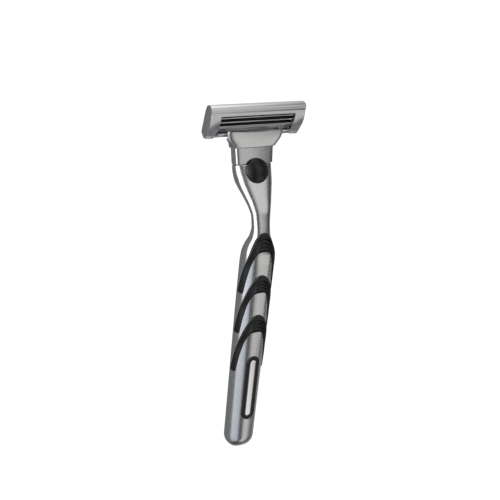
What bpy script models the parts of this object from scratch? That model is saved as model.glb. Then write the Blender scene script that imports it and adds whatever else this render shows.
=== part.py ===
"""Cartridge razor: a slim handle with rubber arches, a slide-off connector and a pivoting
three-blade head.

Frame: metres, +Z up. The razor hangs head up. The origin is the seat under the head's end
blocks, where a cradle carries it. X runs along the blades and +Y is the side the blades face.
Lengths below are in millimetres and are turned into metres when a mesh is made.
"""

import bpy
import bmesh
from math import cos, hypot, pi, radians, sin, tau
from mathutils import Vector

MM = 0.001

# Driving dimensions
HEAD_WIDTH = 42.0           # cartridge length along the blades
HEAD_HEIGHT = 13.2          # from the cap's top edge to the seat, along the blade face
HEAD_TILT = radians(25.0)   # the blade face leans back from the vertical
SEAT_DEPTH = -2.0           # the seat lies this far behind the blade-face line
SEAM_Z = -10.6              # the handle's top face, where the connector comes off
END_Z = -126.0              # the handle's flat end, on its axis
END_RADIUS = 4.2            # rounding of that end
FIT = 0.15                  # clearance between sliding and nested pieces
REST_GAP = 0.25             # clearance round the rubber inlays

# The handle's cross-section down its length:
# height, offset of the axis in Y, half width, depth to the front, depth to the back, squareness
HANDLE = [
    (-10.6, -0.25, 8.20, 3.05, 2.75, 3.2),
    (-11.6, -0.25, 8.20, 3.10, 2.75, 3.2),
    (-14.0, -0.75, 8.05, 3.20, 3.20, 3.1),
    (-16.0, -1.40, 7.75, 3.20, 3.55, 3.1),
    (-18.0, -2.25, 7.40, 3.00, 2.90, 3.0),
    (-22.0, -4.10, 6.15, 2.60, 2.10, 2.9),
    (-26.0, -5.80, 4.85, 2.25, 1.95, 2.8),
    (-30.0, -6.65, 3.95, 2.05, 1.85, 2.7),
    (-34.0, -6.65, 3.75, 2.25, 2.10, 2.7),
    (-37.5, -6.00, 4.25, 3.05, 2.60, 2.6),
    (-41.0, -5.05, 5.80, 4.00, 3.80, 2.4),
    (-44.0, -4.40, 6.55, 4.65, 4.60, 2.4),
    (-48.0, -3.60, 6.75, 4.90, 4.95, 2.35),
    (-60.0, -1.40, 6.75, 4.95, 5.00, 2.3),
    (-80.0, 2.15, 6.55, 5.10, 4.95, 2.3),
    (-105.0, 6.60, 6.20, 5.05, 4.90, 2.3),
    (-126.0, 10.35, 5.90, 5.15, 4.90, 2.3),
]

# Rubber arches on the front of the handle, each lapping down both sides
ARCH_TOPS = {"grip_arch_upper": -35.6, "grip_arch_middle": -52.0, "grip_arch_lower": -68.2}
ARCH_DROP = 23.3            # from the crown of an arch to its feet
ARCH_BAND = 7.1             # height of the band at the crown
ARCH_OUTER_REACH = 9.9      # how far round the handle a foot's two edges lie, from the front
ARCH_INNER_REACH = 6.95
ARCH_FOOT_ROUND = 1.0
GRIP_PROUD = 0.55
GRIP_SUNK = 0.5

# Oval rubber ring round a bright inlay, below the arches
RING_TOP = -85.5
RING_BOTTOM = -112.7
RING_HALF_WIDTH = 3.05
RING_BAND = 1.65

# Blades, as positions down the blade face from the cap's top edge
BLADE_EDGES = (6.6, 8.35, 10.1)
BLADE_LENGTH = 32.8
PIVOT = (10.8, -0.9)        # the head's pivot: down the blade face, and behind it
PIN_RADIUS = 0.55

# The plunger presses on a cam tab left of the pivot, and the button works the ejector
PLUNGER_AXIS_Y = 0.28
BUTTON_Z = -12.9
BUTTON_Y = -4.5             # the underside of the button's cap, on its axis
BUTTON_RADIUS = 4.65
BUTTON_HEIGHT = 1.75
BUTTON_LEAN = 0.20          # the cap leans with the neck behind it, as a slope in Y over Z


# ---------------------------------------------------------------- making meshes and objects

def clear_scene():
    for old in list(bpy.data.objects):
        bpy.data.objects.remove(old, do_unlink=True)


def material(name, colour, roughness, metallic=0.0):
    made = bpy.data.materials.get(name) or bpy.data.materials.new(name)
    made.use_nodes = True
    shader = made.node_tree.nodes["Principled BSDF"]
    shader.inputs["Base Color"].default_value = (*colour, 1.0)
    shader.inputs["Roughness"].default_value = roughness
    shader.inputs["Metallic"].default_value = metallic
    return made


def empty(name, place, parent=None):
    """An empty at a place given in millimetres, on a joint's axis."""
    made = bpy.data.objects.new(name, None)
    bpy.context.collection.objects.link(made)
    made["place"] = place
    settle(made, place, parent)
    return made


def settle(made, place, parent):
    made.parent = parent
    base = Vector(parent["place"]) if parent else Vector((0.0, 0.0, 0.0))
    made.location = (Vector(place) - base) * MM


def add(name, mesh, finish=None, parent=None, smooth=35.0):
    """An object whose origin is its parent's, from a bmesh drawn in world millimetres."""
    origin = Vector(parent["place"]) if parent else Vector((0.0, 0.0, 0.0))
    bmesh.ops.translate(mesh, verts=mesh.verts, vec=-origin)
    bmesh.ops.scale(mesh, verts=mesh.verts, vec=(MM, MM, MM))
    bmesh.ops.recalc_face_normals(mesh, faces=mesh.faces)
    data = bpy.data.meshes.new(name)
    mesh.to_mesh(data)
    mesh.free()
    if finish:
        data.materials.append(finish)
    data.shade_smooth()
    data.set_sharp_from_angle(angle=radians(smooth))
    made = bpy.data.objects.new(name, data)
    bpy.context.collection.objects.link(made)
    settle(made, origin, parent)
    return made


def cut(target, mesh, operation="DIFFERENCE", parent=None):
    """Cut a closed shape from the target, or join one to it."""
    count = len(target.modifiers)
    tool = add(f"{target.name}_tool_{count}", mesh, parent=parent)
    tool.hide_render = True
    tool.display_type = "WIRE"
    step = target.modifiers.new(f"shape_{count}", "BOOLEAN")
    step.operation = operation
    step.solver = "EXACT"
    step.object = tool


def join(target, mesh, parent=None):
    cut(target, mesh, "UNION", parent)


def round_edges(target, width, segments=2, angle=40.0):
    step = target.modifiers.new("round_edges", "BEVEL")
    step.width = width * MM
    step.segments = segments
    step.limit_method = "ANGLE"
    step.angle_limit = radians(angle)


def block(x0, x1, y0, y1, z0, z1):
    mesh = bmesh.new()
    bmesh.ops.create_cube(mesh, size=1.0)
    bmesh.ops.scale(mesh, verts=mesh.verts, vec=(x1 - x0, y1 - y0, z1 - z0))
    middle = ((x0 + x1) / 2, (y0 + y1) / 2, (z0 + z1) / 2)
    bmesh.ops.translate(mesh, verts=mesh.verts, vec=middle)
    return mesh


def prism(points, direction, start):
    """A flat outline of 3-D points, extruded along a direction from its own plane."""
    mesh = bmesh.new()
    face = mesh.faces.new([mesh.verts.new(Vector(p) + Vector(start)) for p in points])
    sweep = bmesh.ops.extrude_face_region(mesh, geom=[face])
    moved = [item for item in sweep["geom"] if isinstance(item, bmesh.types.BMVert)]
    bmesh.ops.translate(mesh, verts=moved, vec=direction)
    return mesh


def along_x(outline, x0, x1):
    """An outline of (y, z) points extruded from x0 to x1."""
    return prism([(0.0, y, z) for y, z in outline], (x1 - x0, 0.0, 0.0), (x0, 0.0, 0.0))


def along_y(outline, y0, y1):
    """An outline of (x, z) points extruded from y0 to y1."""
    return prism([(x, 0.0, z) for x, z in outline], (0.0, y1 - y0, 0.0), (0.0, y0, 0.0))


def rod(start, end, radius, sides=16):
    """A round bar between two points."""
    start, end = Vector(start), Vector(end)
    run = end - start
    turn = Vector((0.0, 0.0, 1.0)).rotation_difference(run).to_matrix()
    mesh = bmesh.new()
    bmesh.ops.create_cone(mesh, cap_ends=True, segments=sides, radius1=radius, radius2=radius,
                          depth=run.length)
    bmesh.ops.rotate(mesh, verts=mesh.verts, matrix=turn)
    bmesh.ops.translate(mesh, verts=mesh.verts, vec=(start + end) / 2)
    return mesh


def loft(rings):
    """A closed skin over rings of equal length, with flat ends."""
    mesh = bmesh.new()
    rows = [[mesh.verts.new(point) for point in ring] for ring in rings]
    edges = [[mesh.edges.new((row[i - 1], row[i])) for i in range(len(row))] for row in rows]
    for above, below in zip(edges, edges[1:]):
        bmesh.ops.bridge_loops(mesh, edges=above + below)
    mesh.faces.new(rows[0])
    mesh.faces.new(rows[-1])
    return mesh


def coil_spring(x, y, bottom, top, radius, wire, turns, steps=10, sides=5):
    """A helical spring standing on a vertical axis."""
    count = int(turns * steps)
    rise = (top - bottom - 2 * wire) / count
    rings = []
    for i in range(count + 1):
        turn = tau * i / steps
        out = Vector((cos(turn), sin(turn), 0.0))
        centre = Vector((x, y, bottom + wire + rise * i)) + out * radius
        ring = []
        for j in range(sides):
            angle = tau * j / sides
            ring.append(centre + out * (wire * cos(angle)) + Vector((0.0, 0.0, wire * sin(angle))))
        rings.append(ring)
    return loft(rings)


# ---------------------------------------------------------------- the handle's surface

def handle_value(column, z):
    """A column of HANDLE at a height, joined by curves that never overshoot."""
    places = [row[0] for row in HANDLE]
    values = [row[column] for row in HANDLE]
    last = len(places) - 1
    slopes = [(values[i + 1] - values[i]) / (places[i + 1] - places[i]) for i in range(last)]

    def tangent(i):
        before, after = slopes[max(i - 1, 0)], slopes[min(i, last - 1)]
        return 0.0 if before * after <= 0 else 2 * before * after / (before + after)

    k = next((i for i in range(last) if z >= places[i + 1]), last - 1)
    span = places[k + 1] - places[k]
    t = (z - places[k]) / span
    rise, fall = tangent(k) * span, tangent(k + 1) * span
    step = values[k + 1] - values[k]
    return values[k] + t * (rise + t * (3 * step - 2 * rise - fall + t * (rise + fall - 2 * step)))


def handle_axis(z):
    """The axis point at a height, and the direction that faces the front there."""
    reach = 0.05
    lean = (handle_value(1, z + reach) - handle_value(1, z - reach)) / (2 * reach)
    length = hypot(1.0, lean)
    return Vector((0.0, handle_value(1, z), z)), Vector((0.0, -1.0 / length, lean / length))


def handle_point(angle, z, lift=0.0):
    """A point on the handle, turned by an angle from the front towards -X, and lifted off it."""
    centre, front = handle_axis(z)
    width, power = handle_value(2, z), handle_value(5, z)
    depth = handle_value(3 if cos(angle) >= 0 else 4, z)
    across, ahead = abs(sin(angle)), abs(cos(angle))
    size = (ahead ** power + across ** power) ** (-1 / power)
    side = Vector((-1.0 if sin(angle) > 0 else 1.0, 0.0, 0.0))
    face = front if cos(angle) >= 0 else -front
    out = side * ((across * size) ** (power - 1) / width) + face * ((ahead * size) ** (power - 1) / depth)
    return centre + side * (width * across * size) + face * (depth * ahead * size) + out.normalized() * lift


def handle_rings(sides):
    """Rings from the seam to the rounded end."""
    straight = END_Z + END_RADIUS
    heights = [SEAM_Z - step for step in (0.0, 2.5, 4.9, 6.6, 8.4)]
    heights += [-20.5 - 2.0 * i for i in range(15)]
    heights += [-53.0 - (-53.0 - straight) * i / 12 for i in range(13)]
    rings = [[handle_point(tau * i / sides, z) for i in range(sides)] for z in heights]
    for i in range(1, 5):
        turn = i * pi / 8
        z = straight - END_RADIUS * sin(turn)
        inset = END_RADIUS * (1.0 - cos(turn)) * 0.9
        rings.append([handle_point(tau * j / sides, z, -inset) for j in range(sides)])
    return rings


# ---------------------------------------------------------------- rubber on the handle

def angle_across(reach, z):
    """The angle from the front at which a point lies, given its distance round the surface."""
    step, gone, angle = radians(4.0), 0.0, 0.0
    here = handle_point(0.0, z)
    while True:
        ahead = handle_point(angle + step, z)
        piece = (ahead - here).length
        if gone + piece >= abs(reach):
            angle += step * (abs(reach) - gone) / piece
            return angle if reach >= 0 else -angle
        gone, angle, here = gone + piece, angle + step, ahead


def on_handle(place, lift):
    """A point at a distance round the handle and a height, lifted off its surface."""
    across, z = place
    return handle_point(angle_across(across, z), z, lift)


def sheet_solid(rows, lifts, sunk):
    """A closed slab that follows the handle: rows of places with a lift for each column."""
    mesh = bmesh.new()
    outer = [[mesh.verts.new(on_handle(place, lift)) for place, lift in zip(row, lifts)]
             for row in rows]
    inner = [[mesh.verts.new(on_handle(place, sunk)) for place in row] for row in rows]
    last_row, last = len(rows) - 1, len(lifts) - 1
    for i in range(last_row):
        for j in range(last):
            mesh.faces.new((outer[i][j], outer[i + 1][j], outer[i + 1][j + 1], outer[i][j + 1]))
            mesh.faces.new((inner[i][j], inner[i][j + 1], inner[i + 1][j + 1], inner[i + 1][j]))
        for j in (0, last):
            mesh.faces.new((outer[i][j], outer[i + 1][j], inner[i + 1][j], inner[i][j]))
    for i in (0, last_row):
        for j in range(last):
            mesh.faces.new((outer[i][j], outer[i][j + 1], inner[i][j + 1], inner[i][j]))
    return mesh


def arch_edges(t):
    """The upper and lower edge of an arch, from its crown (0) to its foot (1)."""
    upper = Vector((ARCH_OUTER_REACH * t, -ARCH_DROP * t ** 2.2))
    lower = Vector((ARCH_INNER_REACH * t, -ARCH_BAND - (ARCH_DROP - ARCH_BAND) * t ** 3.3))
    return upper, lower


def arch_rows(top, grow, columns, steps=18):
    """An arch from foot to foot: each row crosses the band from its upper to its lower edge."""
    half = []
    for i in range(steps + 1):
        t = i / steps
        upper, lower = arch_edges(t)
        before, after = arch_edges(max(t - 0.01, 0.0)), arch_edges(t + 0.01)
        along_upper = (after[0] - before[0]).normalized()
        along_lower = (after[1] - before[1]).normalized()
        upper += Vector((-along_upper.y, along_upper.x)) * grow
        lower -= Vector((-along_lower.y, along_lower.x)) * grow
        half.append((upper, lower))
    middle, reach = (half[-1][0] + half[-1][1]) / 2, (half[-1][0] - half[-1][1]) / 2
    for turn in (0.4, 0.8, 1.15, 1.4):
        down = Vector((0.0, -(ARCH_FOOT_ROUND + grow) * sin(turn)))
        half.append((middle + down + reach * cos(turn), middle + down - reach * cos(turn)))
    rows = []
    for sign, part in ((-1, half[:0:-1]), (1, half)):
        for upper, lower in part:
            places = [upper.lerp(lower, j / columns) for j in range(columns + 1)]
            rows.append([(sign * place.x, top + place.y) for place in places])
    return rows


def ring_loop(half_width, inset, count=40):
    """A stadium on the handle's front."""
    top, bottom = RING_TOP - inset - half_width, RING_BOTTOM + inset + half_width
    loop = []
    for i in range(count):
        turn = tau * (i + 0.5) / count
        z = (top if sin(turn) > 0 else bottom) + half_width * sin(turn)
        loop.append((half_width * cos(turn), z))
    return loop


def stacked_loops(layers, closed=True):
    """Loops on the handle, each a list of places with its lift, skinned in order."""
    rings = [[on_handle(place, lift) for place in loop] for loop, lift in layers]
    if not closed:
        return loft(rings)
    mesh = bmesh.new()
    rows = [[mesh.verts.new(point) for point in ring] for ring in rings]
    for a, b in zip(rows, rows[1:] + rows[:1]):
        for i in range(len(a)):
            mesh.faces.new((a[i - 1], a[i], b[i], b[i - 1]))
    return mesh


# ---------------------------------------------------------------- the head's own plane

def head_point(down, out):
    """(y, z) of a point in the head's section: down the blade face, and out of it."""
    up, ahead = HEAD_HEIGHT - down, out - SEAT_DEPTH
    return (ahead * cos(HEAD_TILT) - up * sin(HEAD_TILT),
            up * cos(HEAD_TILT) + ahead * sin(HEAD_TILT))


def head_bar(outline, x0, x1):
    """A section of (down, out) points extruded along the head."""
    return along_x([head_point(*point) for point in outline], x0, x1)


def head_box(x0, x1, down0, down1, out0, out1):
    corners = ((down0, out0), (down1, out0), (down1, out1), (down0, out1))
    return head_bar(corners, x0, x1)


def support_outline(edge, thick):
    """An L-shaped section under a blade: a leg from the back, and a sloped platform."""
    leg = edge - 1.7
    half = thick / 2
    return [(leg - half, -2.45 - half), (leg + half, -2.45 - half), (leg + half, -0.55 - half),
            (edge - 0.35 + half, -0.02 - half), (edge - 0.35, 0.0 + half), (leg - half, -0.5 + half)]


# ---------------------------------------------------------------- finishes

SILVER = material("satin_silver", (0.52, 0.53, 0.55), 0.32, 0.85)
HOUSING = material("silver_plastic", (0.50, 0.51, 0.53), 0.38, 0.6)
BRIGHT = material("bright_inlay", (0.80, 0.80, 0.82), 0.16, 1.0)
RUBBER = material("black_rubber", (0.02, 0.02, 0.022), 0.62)
BUTTON = material("button_black", (0.015, 0.015, 0.017), 0.3)
NYLON = material("dark_nylon", (0.06, 0.06, 0.065), 0.5)
STEEL = material("blade_steel", (0.72, 0.73, 0.75), 0.2, 1.0)
BRACKET = material("bracket_steel", (0.55, 0.56, 0.58), 0.35, 1.0)
SPRING = material("spring_steel", (0.45, 0.45, 0.47), 0.35, 1.0)
STRIP = material("lubricating_strip", (0.62, 0.75, 0.72), 0.55)


# ---------------------------------------------------------------- handle

def build_handle(root):
    body = add("handle_body", loft(handle_rings(32)), SILVER, root)
    pocket = block(-5.8, 5.8, -2.1, 1.9, SEAM_Z - 5.0, SEAM_Z + 3.0)
    cut(body, pocket, parent=root)
    stem_slot = block(-1.5, 1.5, -6.0, -1.8, SEAM_Z - 4.9, SEAM_Z + 3.0)
    cut(body, stem_slot, parent=root)
    for top in ARCH_TOPS.values():
        rows = arch_rows(top, REST_GAP, 2)
        cut(body, sheet_solid(rows, (1.6, 1.6, 1.6), -GRIP_SUNK - REST_GAP), parent=root)
    groove = ring_loop(RING_HALF_WIDTH + REST_GAP, -REST_GAP)
    floor = -GRIP_SUNK - REST_GAP
    cut(body, stacked_loops([(groove, 1.6), (groove, floor)], closed=False), parent=root)

    for name, top in ARCH_TOPS.items():
        lifts = (0.15, GRIP_PROUD, GRIP_PROUD, GRIP_PROUD, 0.15)
        add(name, sheet_solid(arch_rows(top, 0.0, 4), lifts, -GRIP_SUNK), RUBBER, root)

    outer = ring_loop(RING_HALF_WIDTH, 0.0)
    crest = ring_loop(RING_HALF_WIDTH - RING_BAND / 2, RING_BAND / 2)
    inner = ring_loop(RING_HALF_WIDTH - RING_BAND, RING_BAND)
    add("end_ring", stacked_loops([(outer, -GRIP_SUNK), (outer, 0.2), (crest, GRIP_PROUD),
                                   (inner, 0.2), (inner, -GRIP_SUNK)]), RUBBER, root)
    plate = ring_loop(RING_HALF_WIDTH - RING_BAND - FIT, RING_BAND + FIT)
    add("ring_inlay", stacked_loops([(plate, 0.15), (plate, -GRIP_SUNK)], closed=False),
        BRIGHT, root)
    return body


def build_nose(root):
    """The insert that fills the neck and stands up as the nose that the connector slides on."""
    foot_z, shoulder_z, top_z = SEAM_Z - 4.85, SEAM_Z - 0.3, -4.5
    outline = [(-5.6, foot_z), (5.6, foot_z), (5.6, shoulder_z), (4.4, shoulder_z),
               (4.4, top_z - 0.7), (3.7, top_z), (-3.7, top_z), (-4.4, top_z - 0.7),
               (-4.4, shoulder_z), (-5.6, shoulder_z)]
    nose = add("nose_block", along_y(outline, -1.2, 1.75), NYLON, root)
    for side in (-1, 1):
        x0, x1 = sorted((side * 4.0, side * 5.6))
        join(nose, block(x0, x1, -1.95, -1.0, -11.5, shoulder_z), parent=root)
        x0, x1 = sorted((side * 3.9, side * 5.8))
        cut(nose, block(x0, x1, -2.3, -0.55, foot_z - 0.5, -11.5), parent=root)
    bore = rod((0.0, PLUNGER_AXIS_Y, -14.6), (0.0, PLUNGER_AXIS_Y, top_z + 1.0), 1.05)
    cut(nose, bore, parent=root)


# ---------------------------------------------------------------- plunger and release

def build_plunger(root):
    slide = empty("plunger_slide", (0.0, PLUNGER_AXIS_Y, -0.45), root)
    shaft = rod((0.0, PLUNGER_AXIS_Y, -8.2), (0.0, PLUNGER_AXIS_Y, 0.0), 0.9)
    plunger = add("plunger", shaft, NYLON, slide)
    join(plunger, block(-2.2, 2.2, -1.9, 1.2, -0.45, 0.45), parent=slide)
    add("plunger_spring", coil_spring(0.0, PLUNGER_AXIS_Y, -14.5, -8.35, 0.72, 0.13, 6), SPRING, slide)


def build_release(root):
    slide = empty("release_slide", (0.0, BUTTON_Y, BUTTON_Z), root)
    sides, rim = 32, 0.4

    def cap_ring(size, y):
        ring = []
        for j in range(sides):
            up = size * sin(tau * j / sides)
            ring.append((size * cos(tau * j / sides), y + BUTTON_LEAN * up, BUTTON_Z + up))
        return ring

    rings = [cap_ring(BUTTON_RADIUS, BUTTON_Y)]
    for i in range(5):
        turn = i * pi / 9
        dome = (BUTTON_HEIGHT - rim) * sin(turn) / sin(4 * pi / 9)
        rings.append(cap_ring(BUTTON_RADIUS * cos(turn), BUTTON_Y - rim - dome))
    button = add("release_button", loft(rings), BUTTON, slide)
    join(button, block(-1.2, 1.2, BUTTON_Y - 0.2, -2.1, -15.3, -13.3), parent=slide)

    plate = [(-5.5, -15.35), (5.5, -15.35), (5.5, -14.8), (3.7, -14.8), (3.7, -13.15),
             (-3.7, -13.15), (-3.7, -14.8), (-5.5, -14.8)]
    slider = add("ejector_slider", along_y(plate, -1.95, -1.35), NYLON, slide)
    for side, word in ((-1, "left"), (1, "right")):
        x0, x1 = sorted((side * 4.05, side * 5.5))
        join(slider, block(x0, x1, -1.9, -0.7, -15.35, -14.8), parent=slide)
        spring = coil_spring(side * 4.75, -1.28, -14.7, -11.6, 0.42, 0.1, 4, 8, 4)
        add(f"ejector_spring_{word}", spring, SPRING, slide)


# ---------------------------------------------------------------- connector

def build_connector(root):
    slide = empty("connector_slide", (0.0, 0.0, SEAM_Z), root)
    sides = 32

    def collar_ring(z, half_width, front_depth):
        ring = []
        for i in range(sides):
            turn = tau * i / sides
            size = (abs(cos(turn)) ** 9 + abs(sin(turn)) ** 9) ** (-1 / 9)
            depth = front_depth if sin(turn) < 0 else 2.5
            ring.append((half_width * size * cos(turn), depth * size * sin(turn), z))
        return ring

    bottom, top = SEAM_Z + FIT, -4.35
    rings = [collar_ring(bottom, 8.2, 3.1), collar_ring((bottom + top) / 2, 8.4, 3.1),
             collar_ring(top, 8.6, 3.1)]
    collar = add("connector_collar", loft(rings), SILVER, slide)
    cut(collar, block(-4.6, 4.6, -1.35, 1.9, bottom - 1.0, top + 1.0), parent=slide)
    paddle_way = (-2.45, 2.45, -2.05, 1.4)
    cut(collar, block(*paddle_way, bottom - 1.0, top + 1.0), parent=slide)

    scoop = [(-3.1, -4.2), (-3.25, -3.4), (-3.65, -1.8), (-4.05, -0.2), (-4.25, 1.2), (-4.15, 1.9),
             (-3.8, 2.9), (-3.2, 2.9), (-2.9, 1.2), (-2.8, 0.3), (-2.3, -0.4), (-1.9, -0.5),
             (1.9, -0.5), (2.4, -1.0), (2.4, -4.2)]
    half = [(9.2, -4.4), (9.7, -3.5), (10.7, -2.4), (11.8, -1.2), (12.5, 0.2), (12.8, 1.4),
            (12.85, 2.3)]
    lip = [(x, 1.6 + 0.7 * (x / 12.85) ** 2) for x in (10.0, 6.5, 3.2, 0.0, -3.2, -6.5, -10.0)]
    left = [(-x, z) for x, z in half[::-1]]
    yoke = add("connector_yoke", along_x(scoop, -14.0, 14.0), SILVER, slide)
    cut(yoke, along_y(half + lip + left, -5.0, 4.5), "INTERSECT", slide)
    for side in (-1, 1):
        x0, x1 = sorted((side * 8.9, side * 15.0))
        cut(yoke, block(x0, x1, -1.7, 5.0, -6.0, 0.5), parent=slide)
    round_edges(yoke, 0.25, 1, 50.0)
    cut(yoke, block(*paddle_way, -5.5, 4.0), parent=slide)
    down, out = PIVOT
    lobe = [(down + 0.5 * cos(pi * i / 6), out + 0.5 * sin(pi * i / 6)) for i in range(7)]
    arm = [(down + 0.5, -4.2), (down - 0.35, -4.2), (down - 0.35, -2.2)]
    arm_outline = lobe + arm[::-1]
    pivot_y, pivot_z = head_point(*PIVOT)
    for side in (-1, 1):
        x0, x1 = sorted((side * 12.0, side * 16.3))
        join(yoke, head_bar(arm_outline, x0, x1), parent=slide)
        pin = rod((side * 15.8, pivot_y, pivot_z), (side * 17.9, pivot_y, pivot_z), PIN_RADIUS, 12)
        join(yoke, pin, parent=slide)


# ---------------------------------------------------------------- head

def build_head(root):
    pivot_y, pivot_z = head_point(*PIVOT)
    pivot = empty("head_pivot", (0.0, pivot_y, pivot_z), root)
    half = HEAD_WIDTH / 2
    shell = [(0.0, -1.0), (0.05, -1.9), (0.5, -2.85), (1.6, -3.45), (3.5, -3.85), (6.0, -4.1),
             (8.3, -3.85), (10.4, -3.25), (12.6, -2.65), (13.1, -2.2), (13.1, -1.9), (12.7, -1.1),
             (11.9, 0.2), (11.2, 0.5), (7.3, 0.75), (3.2, 0.9), (1.2, 0.65), (0.3, -0.1)]
    housing = add("cartridge_housing", head_bar(shell, -half, half), HOUSING, pivot)
    round_edges(housing, 0.6, 2, 60.0)
    for side in (-1, 1):
        x0, x1 = sorted((side * 17.2, side * 20.6))
        join(housing, head_box(x0, x1, 12.0, HEAD_HEIGHT, -2.75, -1.25), parent=pivot)
    # window behind the blades, with the bar and its guard shelf left below it
    window = [(3.5, -6.0), (11.7, -6.0), (11.7, -0.3), (10.55, -0.2), (10.55, 2.0), (4.0, 2.0),
              (4.0, -1.2), (3.5, -1.2)]
    cut(housing, head_bar(window, -16.6, 16.6), parent=pivot)
    # a seat for each blade support, and for the strip, the guard and the clips
    for edge in BLADE_EDGES:
        seat = support_outline(edge, 0.8)
        for side in (-1, 1):
            x0, x1 = sorted((side * 16.0, side * 17.2))
            cut(housing, head_bar(seat, x0, x1), parent=pivot)
    cut(housing, head_box(-19.2, 19.2, 0.95, 3.65, -0.55, 3.0), parent=pivot)
    cut(housing, head_bar([(10.0, 0.15), (11.4, 0.15), (12.2, -0.6), (13.6, -0.9), (13.6, 2.0),
                           (10.0, 2.0)], -15.4, 15.4), parent=pivot)
    for side in (-1, 1):
        x0, x1 = sorted((side * 15.65, side * 16.55))
        cut(housing, head_box(x0 - 0.2, x1 + 0.2, 11.25, 11.75, -1.6, 3.0), parent=pivot)
        hole = rod((side * 16.0, pivot_y, pivot_z), (side * 18.2, pivot_y, pivot_z), PIN_RADIUS + 0.2, 16)
        cut(housing, hole, parent=pivot)
    # relief for the plunger in the middle of the bar, and the cam tab that it presses on
    cut(housing, block(-2.8, 2.8, -3.0, 4.0, -1.0, 0.6), parent=pivot)
    tab = [(-1.75, 0.6), (0.1, 0.6), (0.1, 1.6), (-0.9, 1.45), (-1.75, 1.0)]
    join(housing, along_x(tab, -2.2, 2.2), parent=pivot)

    strip = [(1.1, -0.4), (3.5, -0.4), (3.5, 0.85), (3.2, 0.98), (1.5, 0.8), (1.1, 0.55)]
    add("lubricating_strip", head_bar(strip, -19.0, 19.0), STRIP, pivot)

    guard = [(10.65, 0.3), (11.5, 0.3), (12.3, -0.4), (13.0, -0.6), (12.95, -0.3)]
    crest, valley = (12.75, 0.05), (10.65, 0.72)
    fins = 5
    for i in range(fins):
        for t, height in ((i / fins, 0.0), ((i + 0.5) / fins, 0.2)):
            along = crest[0] + (valley[0] - crest[0]) * t
            guard.append((along, crest[1] + (valley[1] - crest[1]) * t + height))
    guard.append(valley)
    add("guard_strip", head_bar(guard, -15.2, 15.2), RUBBER, pivot)

    for number, edge in enumerate(BLADE_EDGES, 1):
        add(f"blade_support_{number}", head_bar(support_outline(edge, 0.45), -17.0, 17.0),
            BRACKET, pivot)
        blade = [(edge - 1.4, -0.08), (edge - 0.2, 0.33), (edge, 0.48), (edge - 0.35, 0.46),
                 (edge - 1.45, 0.05)]
        add(f"blade_{number}", head_bar(blade, -BLADE_LENGTH / 2, BLADE_LENGTH / 2), STEEL, pivot)

    for side, word in ((-1, "left"), (1, "right")):
        x0, x1 = sorted((side * 15.65, side * 16.5))
        clip = [(3.95, 0.75), (3.95, 1.15), (11.65, 0.95), (11.65, -1.4), (11.4, -1.4), (11.4, 0.7)]
        add(f"retaining_clip_{word}", head_bar(clip, x0, x1), SILVER, pivot)


# ---------------------------------------------------------------- assembly

clear_scene()
razor = empty("razor", (0.0, 0.0, 0.0))
build_handle(razor)
build_nose(razor)
build_plunger(razor)
build_release(razor)
build_connector(razor)
build_head(razor)
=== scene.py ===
"""Cartridge razor, in its looks: a brushed silver handle with rubber arches, a slide-off
connector and a pivoting three-blade head. Sizes are in millimetres unless a name says otherwise.
"""

from functools import lru_cache
from math import cos, pi, radians, sin, tau

import bpy
from mathutils import Matrix, Vector


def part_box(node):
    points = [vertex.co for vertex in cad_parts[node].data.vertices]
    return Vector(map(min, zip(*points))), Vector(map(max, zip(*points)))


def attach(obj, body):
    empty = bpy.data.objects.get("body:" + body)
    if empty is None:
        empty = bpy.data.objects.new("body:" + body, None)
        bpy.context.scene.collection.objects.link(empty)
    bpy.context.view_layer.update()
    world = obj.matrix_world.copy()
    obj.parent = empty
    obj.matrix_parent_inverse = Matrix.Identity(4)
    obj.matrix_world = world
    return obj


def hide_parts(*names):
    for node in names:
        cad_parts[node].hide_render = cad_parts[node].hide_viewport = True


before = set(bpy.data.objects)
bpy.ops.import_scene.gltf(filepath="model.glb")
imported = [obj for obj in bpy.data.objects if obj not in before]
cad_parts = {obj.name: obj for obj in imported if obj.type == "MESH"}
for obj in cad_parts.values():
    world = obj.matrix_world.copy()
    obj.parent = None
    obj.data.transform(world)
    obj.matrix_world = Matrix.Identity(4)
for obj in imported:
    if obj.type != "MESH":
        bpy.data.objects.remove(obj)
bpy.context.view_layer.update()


# ---------------------------------------------------------------- handle body
# The handle is a die-cast zinc shell, satin plated in silver and lightly brushed down its
# length. Its flat neck thins to a waist, and the lower part is a leaning oval with a domed end.

MM = 0.001
handle_low, handle_high = (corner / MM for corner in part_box("handle_body"))
SEAM_Z = handle_high.z
END_Z = handle_low.z - 0.05
END_ROUND = 5.2
SEAM_CHAMFER = 0.45

# Height, offset of the axis in Y, half width, depth to the front, depth to the back, squareness
HANDLE = (
    (-10.6, -0.25, 8.20, 3.05, 2.75, 3.2),
    (-11.6, -0.25, 8.20, 3.10, 2.75, 3.2),
    (-14.0, -0.75, 8.05, 3.20, 3.20, 3.1),
    (-16.0, -1.40, 7.75, 3.20, 3.55, 3.1),
    (-18.0, -2.25, 7.40, 3.00, 2.90, 3.0),
    (-22.0, -4.10, 6.15, 2.60, 2.10, 2.9),
    (-26.0, -5.80, 4.85, 2.25, 1.95, 2.8),
    (-30.0, -6.65, 3.95, 2.05, 1.85, 2.7),
    (-34.0, -6.65, 3.75, 2.25, 2.10, 2.7),
    (-37.5, -6.00, 4.25, 3.05, 2.60, 2.6),
    (-41.0, -5.05, 5.80, 4.00, 3.80, 2.4),
    (-44.0, -4.40, 6.55, 4.65, 4.60, 2.4),
    (-48.0, -3.60, 6.75, 4.90, 4.95, 2.35),
    (-60.0, -1.40, 6.75, 4.95, 5.00, 2.3),
    (-80.0, 2.15, 6.55, 5.10, 4.95, 2.3),
    (-105.0, 6.60, 6.20, 5.05, 4.90, 2.3),
    (-126.0, 10.35, 5.90, 5.15, 4.90, 2.3),
)


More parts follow.
